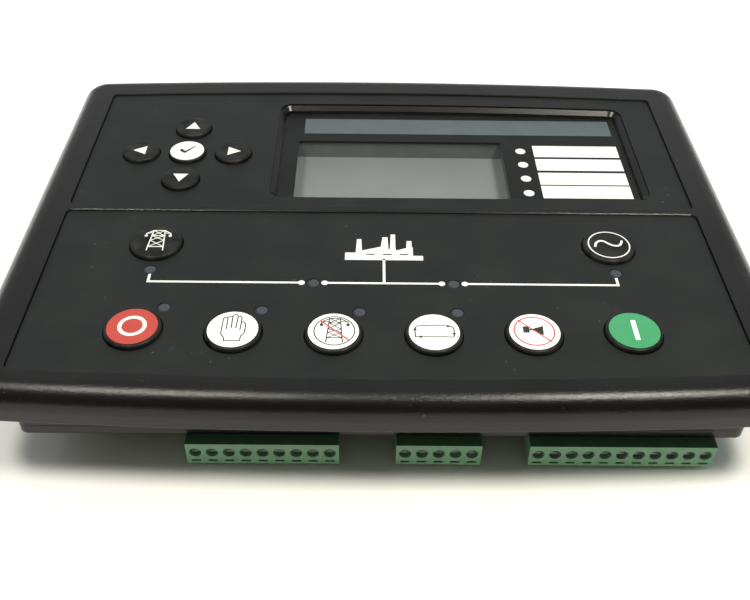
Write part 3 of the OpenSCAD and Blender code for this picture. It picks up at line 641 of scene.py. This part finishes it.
class CONTROLLER_OT_display(Operator):
    """Finish the window with its dark print, the liquid crystal glass, the tray and the text card"""

    bl_idname = "controller.display"
    bl_label = "Display window"

    def execute(self, context):
        colours = context.scene.controller_colours
        sizes = context.scene.controller_sizes
        dress(clear_sheet("clear window"), "display_window")
        dress(display_face("liquid crystal glass", colours.display), "lcd_glass")
        dress(smooth_plastic("dark tray moulding", colours.tray, roughness=0.55), "lcd_tray")
        paper = smooth_plastic("white paper card", colours.white_face, roughness=0.7, variation=0.02)
        dress(paper, "text_card")
        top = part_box("display_window")[0].z + sizes.print_lift + sizes.film_depth
        left, right = STRIP_SIDES
        strips = [rectangle(left, foot, right, foot + sizes.strip_height / MM) for foot in STRIP_FEET]
        lamps = [disc(*middle(f"alarm_lamp_{i}"), ALARM_FIELD_RADIUS) for i in range(1, 5)]
        clear = [rectangle(*DISPLAY_FIELD), *strips, *lamps]
        dark = film("window print", colours.window_print, roughness=0.45, ior=1.33)
        printed_sheet("window_print", window_outline(inset=0.3, corner=2.0), clear, top, dark,
                      "casing")
        printed("text_strips", strips, top, paper, "card", "casing")
        grey = smooth_plastic("grey title strip", colours.title_strip, roughness=0.4, variation=0.06)
        title = [rectangle(*TITLE_STRIP)]
        printed("title_strip", title, top + sizes.title_lift, grey, "alarm_lens", "casing")
        return {"FINISHED"}


class CONTROLLER_OT_lamps(Operator):
    """Finish the alarm and status lamps' lenses"""

    bl_idname = "controller.lamps"
    bl_label = "Lamps"

    def execute(self, context):
        colours = context.scene.controller_colours
        status = lens("grey lamp lens", colours.lamp, rim=0.1)
        alarm = smooth_plastic("pale lamp lens", colours.white_face, roughness=0.3, variation=0.04, coat=0.3)
        dress(status, *(f"status_lamp_{i}" for i in range(1, 9)))
        dress(alarm, *(f"alarm_lamp_{i}" for i in range(1, 5)))
        return {"FINISHED"}


class CONTROLLER_OT_mimic(Operator):
    """Print the single-line diagram with its building between the supply keys"""

    bl_idname = "controller.mimic"
    bl_label = "Single-line diagram"

    def execute(self, context):
        sizes = context.scene.controller_sizes
        width, dot = sizes.mimic_line / MM, sizes.mimic_dot / MM
        left, right = middle("mains_key")[0] + 0.5, middle("generator_key")[0] - 0.3
        gap_left, gap_right = middle("status_lamp_2"), middle("status_lamp_3")
        y = gap_left[1] + 0.2
        stub, half_gap, load_x, load_y = 3.5, 3.6, 0.3, -27.5
        outlines = []
        for x, gap in ((left, gap_left), (right, gap_right)):
            side = 1 if x < 0 else -1
            inner, outer = gap[0] + half_gap * side, gap[0] - half_gap * side
            outlines += [line((x, y - width / 2), (x, y + stub), width), line((x, y), (outer, y), width)]
            outlines += [disc(outer, y, dot / 2), disc(inner, y, dot / 2)]
        outlines.append(line((gap_left[0] + half_gap, y), (gap_right[0] - half_gap, y), width))
        outlines.append(line((load_x, y), (load_x, load_y), width))
        building = [(-12.2, -28.1), (12.9, -28.1), (12.9, -25.8), (9.7, -25.8), (9.7, -21.4), (9.4, -21.4),
                    (9.4, -18.2), (7.8, -18.2), (7.6, -21.8), (4.4, -23.2), (4.1, -22.2), (4.1, -14.8),
                    (2.6, -14.8), (2.3, -22.4), (1.8, -22.4), (1.6, -16.3), (-0.1, -16.3), (-0.7, -21.3),
                    (-6.8, -23.3), (-7.0, -17.4), (-8.5, -17.4), (-8.8, -24.4), (-12.2, -24.4)]
        windows = [rectangle(x, -25.5, x + 2.8, -24.95) for x in (-5.4, 0.0, 5.4)]
        mark = white_mark()
        top = print_top("lower_label")
        printed("mimic_lines", outlines, top, mark, "inlay_white", "casing")
        printed_sheet("mimic_building", building, windows, top, mark, "casing")
        return {"FINISHED"}


class CONTROLLER_OT_menu_marks(Operator):
    """Print the arrows on the four menu keys and the tick on the middle one"""

    bl_idname = "controller.menu_marks"
    bl_label = "Menu key marks"

    def execute(self, context):
        mark = white_mark()
        arrow = [(2.9, 0), (-1.85, 2.68), (-1.85, -2.68)]
        for key, degrees in (("right", 0), ("up", 90), ("left", 180), ("down", 270)):
            outlines = shifted([turned(arrow, degrees)], *middle(f"{key}_key"))
            printed(f"{key}_arrow", outlines, print_top(f"{key}_key"), mark, "inlay_white", f"{key}_button")
        tick = [(-2.8, 0.6), (-2.55, -0.25), (-1.4, -1.4), (-0.45, -1.7), (2.8, 2.75), (2.75, 3.2),
                (-0.65, -0.25), (-1.05, 0.2), (-2.0, 1.05)]
        outlines = shifted([tick], *middle("enter_key"))
        printed("enter_tick", outlines, print_top("enter_inlay"), black_mark(), "key_black", "enter_button")
        return {"FINISHED"}


def lattice(width, line_ends, rungs):
    """Strokes of a lattice tower: legs, arms, rungs at the given heights and the braces between them."""
    (top_half, top_y), (foot_half, foot_y) = line_ends
    thin = width * 0.8
    arm, arm_y, stay_y = 3.9, top_y - 1.5, top_y - 1.1

    def half(y):
        return foot_half + (top_half - foot_half) * (y - foot_y) / (top_y - foot_y)

    outlines = []
    for side in (-1, 1):
        outlines += stroke([(side * top_half, top_y), (side * foot_half, foot_y)], width)
        outlines += stroke([(side * top_half, top_y), (side * arm, arm_y), (side * arm, top_y - 2.3)], width)
        outlines += stroke([(side * half(stay_y), stay_y), (side * 3.3, arm_y)], thin)
        outlines.append(disc(side * arm, top_y - 2.7, 0.55, 16))
    levels = [top_y, *rungs]
    for upper, lower in zip(levels, levels[1:]):
        outlines += stroke([(-half(upper), upper), (half(lower), lower)], thin)
        outlines += stroke([(half(upper), upper), (-half(lower), lower)], thin)
    for y in (top_y, rungs[0], rungs[-1]):
        outlines += stroke([(-half(y), y), (half(y), y)], width)
    return outlines


class CONTROLLER_OT_supply_marks(Operator):
    """Print the tower on the mains key and the ringed wave on the generator key"""

    bl_idname = "controller.supply_marks"
    bl_label = "Supply key marks"

    def execute(self, context):
        fine = context.scene.controller_sizes.fine_line / MM
        mark = white_mark()
        tower = lattice(fine * 1.15, ((1.85, 5.3), (2.6, -4.8)), (2.6, 0.2, -3.05))
        x, y = middle("mains_key")
        printed("mains_tower", shifted(tower, x + 0.3, y), print_top("mains_key"), mark, "inlay_white",
                "mains_button")
        wave = smooth([(-4.6, -0.8), (-3.9, 1.0), (-2.6, 1.95), (-1.3, 1.7), (0, 0.5), (1.3, -0.35),
                       (2.7, -0.55), (3.8, 0.15), (4.5, 1.9)])
        ringed = stroke(wave, fine * 2.3) + ring(0, 0, 13.7, fine * 1.35)
        x, y = middle("generator_key")
        printed("generator_wave", shifted(ringed, x, y), print_top("generator_key"), mark, "inlay_white",
                "generator_button")
        return {"FINISHED"}


class CONTROLLER_OT_mode_marks(Operator):
    """Print the symbols on the six mode keys"""

    bl_idname = "controller.mode_marks"
    bl_label = "Mode key marks"

    def execute(self, context):
        sizes = context.scene.controller_sizes
        fine, across = sizes.fine_line / MM, sizes.symbol_ring / MM
        white, black = (white_mark(), "inlay_white"), (black_mark(), "key_black")
        red = (red_mark(), "inlay_red")

        def mark(name, key, outlines, ink, lift=0.0):
            top = print_top(f"{key}_inlay") + lift * sizes.film_depth
            printed(name, shifted(outlines, *middle(f"{key}_key")), top, *ink, f"{key}_button")

        mark("stop_ring", "stop", ring(0, 0.15, 8.5, 1.2), white)
        hand = [(-1.73, -4.8), (-1.95, -3.4), (-2.75, -2.2), (-2.9, -1.7), (-2.84, -0.4), (-2.83, 2.0),
                (-2.8, 4.4), (-2.35, 4.95), (-1.75, 4.85), (-1.2, 5.2), (-0.7, 5.55), (-0.15, 5.35),
                (0.0, 5.8), (0.5, 6.4), (1.1, 6.2), (1.45, 5.4), (1.9, 5.6), (2.45, 5.25), (2.67, 4.45),
                (2.62, 2.95), (3.2, 3.1), (3.8, 2.5), (4.0, 1.7), (4.0, 0.5), (3.95, -1.0), (3.7, -1.75),
                (3.1, -2.6), (2.95, -3.2), (2.85, -4.8)]
        fingers = [[(-1.5, 4.8), (-1.5, 0.15)], [(-0.15, 5.3), (-0.1, 0.6)], [(1.45, 5.4), (1.25, 0.6)],
                   [(2.62, 2.95), (2.5, -0.4)]]
        palm = stroke(hand, fine, closed=True)
        for finger in fingers:
            palm += stroke(finger, fine)
        mark("manual_hand", "manual", shifted(palm, -0.35, 0), black)
        tower = lattice(fine, ((1.6, 5.3), (2.4, -4.6)), (3.4, 0.9, -0.6, -2.8))
        mark("test_tower", "test", shifted(tower, 0.3, 0) + ring(0.25, 0.15, across, fine), black)
        mark("test_slash", "test", stroke([(-3.9, 4.3), (4.4, -3.6)], fine * 1.4), red, 1)
        loop = [(-5.55, -2.1), (-5.65, 0.4), (-5.3, 2.2), (-4.9, 2.45), (0.1, 2.85), (4.4, 2.45), (5.3, 2.2),
                (5.75, 1.5), (5.85, -1.0), (5.6, -2.15), (3.3, -2.05)]
        arrows = stroke(loop, fine, closed=True)
        head = [(0.75, 0), (-0.45, 0.6), (-0.45, -0.6)]
        for x, y, degrees in ((4.3, 2.43, 0), (5.75, -0.9, -90), (-4.2, -2.08, 180), (-5.62, 1.0, 90)):
            arrows += shifted([turned(head, degrees)], x, y)
        mark("auto_loop", "auto", arrows, black)
        horn = [rectangle(-3.35, -0.5, -1.5, 2.15), rectangle(-1.6, 0.5, -0.7, 1.05),
                [(-0.9, 0.55), (2.45, -1.5), (2.7, 2.4), (-0.9, 1.05)]]
        mark("mute_horn", "mute", horn, black)
        bold = fine * 1.2
        crossed = ring(-0.1, 0.2, across, bold) + stroke([(-4.4, 4.75), (4.25, -4.0)], bold)
        mark("mute_ring", "mute", crossed, red, 1)
        mark("start_bar", "start", [[(-0.45, 4.35), (-0.45, -4.1), (1.0, -4.1), (1.0, 4.35)]], white)
        return {"FINISHED"}


class CONTROLLER_OT_terminals(Operator):
    """Finish the terminal blocks with their screws, clamps and pins"""

    bl_idname = "controller.terminals"
    bl_label = "Terminals"

    def execute(self, context):
        colours = context.scene.controller_colours
        green = smooth_plastic("green terminal moulding", colours.terminals, roughness=0.42, variation=0.12)
        dress(green, *(f"{row}_{piece}" for row in ROWS for piece in ("plug", "header")))
        screws = plated_metal("zinc plated screw", colours.steel)
        dress(screws, "terminal_screws", "board_screws", "case_screws")
        dress(plated_metal("tinned clamp", colours.tin, roughness=0.38), "wire_clamps", "contact_pins")
        return {"FINISHED"}


class CONTROLLER_OT_inside(Operator):
    """Finish the boards, spacers, key mat and service socket"""

    bl_idname = "controller.inside"
    bl_label = "Inside"

    def execute(self, context):
        colours = context.scene.controller_colours
        dress(solder_mask("green solder mask", colours.board), "front_board", "main_board")
        dress(smooth_plastic("white spacer", colours.white_face, roughness=0.5), "board_spacers")
        dress(rubber("black key mat", colours.key), "key_mat")
        dress(plated_metal("brushed socket shell", colours.steel, grain=(1, 1, 0.05)), "usb_socket")
        return {"FINISHED"}


class CONTROLLER_OT_stage(Operator):
    """Set the table, the lights and the camera"""

    bl_idname = "controller.stage"
    bl_label = "Stage"

    def execute(self, context):
        stage = context.scene.controller_stage
        self.table(stage)
        self.lights(stage)
        self.camera(stage)
        context.scene.view_settings.view_transform = "Standard"
        return {"FINISHED"}

    def table(self, stage):
        bpy.ops.mesh.primitive_plane_add(size=6)
        plane = bpy.context.active_object
        plane.name = "table_top"
        f = Finish("white table", Roughness=0.6)
        seen = (f.node("ShaderNodeLightPath", out="Is Camera Ray")
                + f.node("ShaderNodeLightPath", out="Is Glossy Ray"))
        away = f.vector("DISTANCE", f.place(), stage.glow_centre, out="Value")
        share = f.node("ShaderNodeMapRange", {"interpolation_type": "SMOOTHSTEP"},
                       {"Value": away, "From Min": stage.glow_start, "From Max": stage.glow_end})
        tone = f.mix(darker(stage.table, 0.97), stage.table, f.noise(0.05, 3))
        glow = f.mix((0, 0, 0), (1, 1, 1), share * seen)
        plane.data.materials.append(f.surface(Base_Color=tone, Emission_Color=glow, Emission_Strength=1.0))

    def lights(self, stage):
        world = bpy.data.worlds.new("room")
        bpy.context.scene.world = world
        world.use_nodes = True
        n = Nodes(world.node_tree)
        pale_side = (0, 0.66, 0.75)
        direction = n.node("ShaderNodeTexCoord", out="Generated")
        turned_to_it = n.vector("DOT_PRODUCT", direction, pale_side, out="Value")
        share = n.node("ShaderNodeMapRange", {"interpolation_type": "SMOOTHSTEP"},
                       {"Value": turned_to_it, "From Min": -0.1, "From Max": 0.95})
        light = n.mix(darker(stage.room_tint, stage.room), darker(stage.wall_tint, stage.wall), share)
        seen = n.node("ShaderNodeLightPath", out="Is Camera Ray")
        n.feed(world.node_tree.nodes["Background"], {"Color": n.mix(light, (1, 1, 1), seen)})
        self.soft_light(stage, "right_light", stage.right_place, stage.right_aim, stage.right_power)
        self.soft_light(stage, "left_light", stage.left_place, stage.left_aim, stage.left_power)

    def soft_light(self, stage, name, place, aim, power):
        light = bpy.data.lights.new(name, "AREA")
        light.shape = "RECTANGLE"
        light.size, light.size_y, light.energy = stage.light_width, stage.light_depth, power
        light.color = stage.light_tint
        lamp = bpy.data.objects.new(name, light)
        lamp.location = place
        lamp.rotation_euler = (aim - place).to_track_quat("-Z", "Y").to_euler()
        bpy.context.scene.collection.objects.link(lamp)

    def camera(self, stage):
        level = math.cos(stage.tilt)
        ahead = Vector((math.sin(stage.yaw) * level, math.cos(stage.yaw) * level, -math.sin(stage.tilt)))
        right = ahead.cross(Vector((0, 0, 1))).normalized()
        up = right.cross(ahead)
        cosine, sine = math.cos(stage.roll), math.sin(stage.roll)
        across, above = cosine * right + sine * up, cosine * up - sine * right
        data = bpy.data.cameras.new("camera")
        data.sensor_width, data.sensor_fit, data.lens = 36, "HORIZONTAL", stage.lens
        data.clip_start = 0.01
        camera = bpy.data.objects.new("camera", data)
        facing = Matrix((across, above, -ahead)).transposed().to_4x4()
        camera.matrix_world = Matrix.Translation(stage.camera_place) @ facing
        bpy.context.scene.collection.objects.link(camera)
        bpy.context.scene.camera = camera


OPERATORS = (CONTROLLER_OT_mouldings, CONTROLLER_OT_key_faces, CONTROLLER_OT_display, CONTROLLER_OT_lamps,
             CONTROLLER_OT_mimic, CONTROLLER_OT_menu_marks, CONTROLLER_OT_supply_marks,
             CONTROLLER_OT_mode_marks, CONTROLLER_OT_terminals, CONTROLLER_OT_inside, CONTROLLER_OT_stage)


class CONTROLLER_PT_looks(Panel):
    """Lists the steps that dress the controller"""

    bl_idname = "CONTROLLER_PT_looks"
    bl_label = "Genset controller"
    bl_space_type = "VIEW_3D"
    bl_region_type = "UI"
    bl_category = "Controller"

    def draw(self, context):
        for operator in OPERATORS:
            self.layout.operator(operator.bl_idname)
        for group in ("controller_colours", "controller_sizes", "controller_stage"):
            box = self.layout.box()
            settings = getattr(context.scene, group)
            for key in type(settings).__annotations__:
                box.prop(settings, key)


CLASSES = (ControllerColours, ControllerSizes, StageSettings, *OPERATORS, CONTROLLER_PT_looks)


def register():
    for cls in CLASSES:
        bpy.utils.register_class(cls)
    bpy.types.Scene.controller_colours = PointerProperty(type=ControllerColours)
    bpy.types.Scene.controller_sizes = PointerProperty(type=ControllerSizes)
    bpy.types.Scene.controller_stage = PointerProperty(type=StageSettings)


def unregister():
    del bpy.types.Scene.controller_stage
    del bpy.types.Scene.controller_sizes
    del bpy.types.Scene.controller_colours
    for cls in reversed(CLASSES):
        bpy.utils.unregister_class(cls)


def main():
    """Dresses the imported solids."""
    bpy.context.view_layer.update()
    register()
    for operator in OPERATORS:
        group, name = operator.bl_idname.split(".")
        getattr(getattr(bpy.ops, group), name)()


if __name__ == "__main__":
    main()
